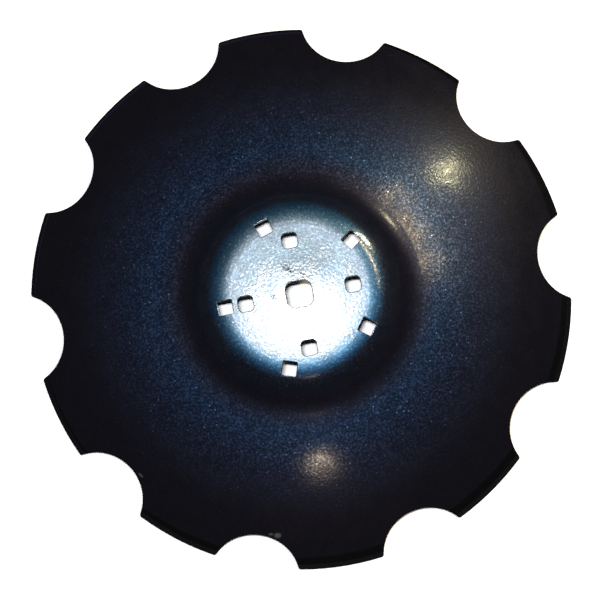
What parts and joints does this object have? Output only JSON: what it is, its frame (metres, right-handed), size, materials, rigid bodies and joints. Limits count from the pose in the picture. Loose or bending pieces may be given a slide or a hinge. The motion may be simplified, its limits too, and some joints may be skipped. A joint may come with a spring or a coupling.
{
  "type": "harrow disc blade",
  "caption": "Dished steel harrow disc blade with a scalloped, bevelled rim and a raised flat hub with two circles of square bolt holes about a centre hole.",
  "frame": {"origin": "on the blade's axis, in the plane where the rim touches the ground", "axes": "+Z along the blade's axis, out of the bulging face; -X through the radius where a hole of each bolt circle lines up"},
  "size_m": [0.5056, 0.51, 0.0652],
  "materials": {
    "navy_lacquer": "semi-gloss blue-black lacquer with fine grain and dust"
  },
  "bodies": {
    "root": {"disc_blade": "navy_lacquer"}
  },
  "joints": []
}
